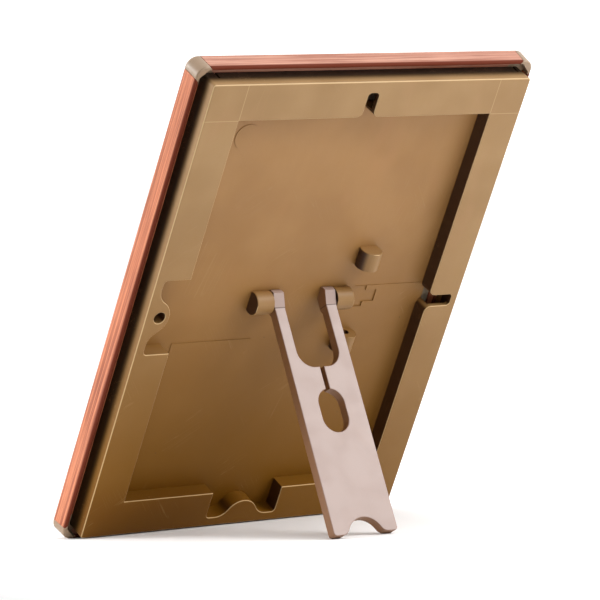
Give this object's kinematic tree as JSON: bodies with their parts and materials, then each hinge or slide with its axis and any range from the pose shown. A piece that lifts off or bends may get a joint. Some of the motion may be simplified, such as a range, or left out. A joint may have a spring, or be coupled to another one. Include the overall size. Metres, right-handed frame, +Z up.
{
  "type": "photo frame",
  "caption": "Table-top photo frame: wood strips with moulded corners round a glass pane, and a moulded back whose forked easel leg folds into a recess.",
  "frame": {"origin": "the point on the table under the middle of the object's box, standing on its lower edge and on the leg's feet, with the leg open at its stop", "axes": "+Z up, +Y towards the back where the leg stands, +X to the right seen from the front; the frame leans back by 31.26 degrees"},
  "size_m": [0.1492, 0.113, 0.1741],
  "materials": {
    "back_plastic": "moulded tan-brown plastic with a fine satin surface",
    "leg_plastic": "moulded pinkish-brown plastic, satin",
    "strip_wood": "reddish wood with a fine straight grain and a thin clear coat",
    "corner_plastic": "moulded tan plastic, slightly glossy",
    "glass": "clear float glass",
    "print_paper": "glossy photographic paper with a plain landscape",
    "card": "grey-brown board"
  },
  "bodies": {
    "frame": {"back_panel": "back_plastic", "glass_pane": "glass", "photo_print": "print_paper", "backing_card": "card", "bottom_strip": "strip_wood", "right_strip": "strip_wood", "top_strip": "strip_wood", "left_strip": "strip_wood", "corner_lower_left": "corner_plastic", "corner_lower_right": "corner_plastic", "corner_upper_right": "corner_plastic", "corner_upper_left": "corner_plastic"},
    "leg": {"stand_leg": "leg_plastic"}
  },
  "joints": [
    {"name": "leg_hinge", "type": "hinge", "parent": "frame", "child": "leg", "pos_m": [0, 0.00387, 0.08506], "axis": [-1, 0, 0], "range_deg": [0, 53.35]}
  ]
}
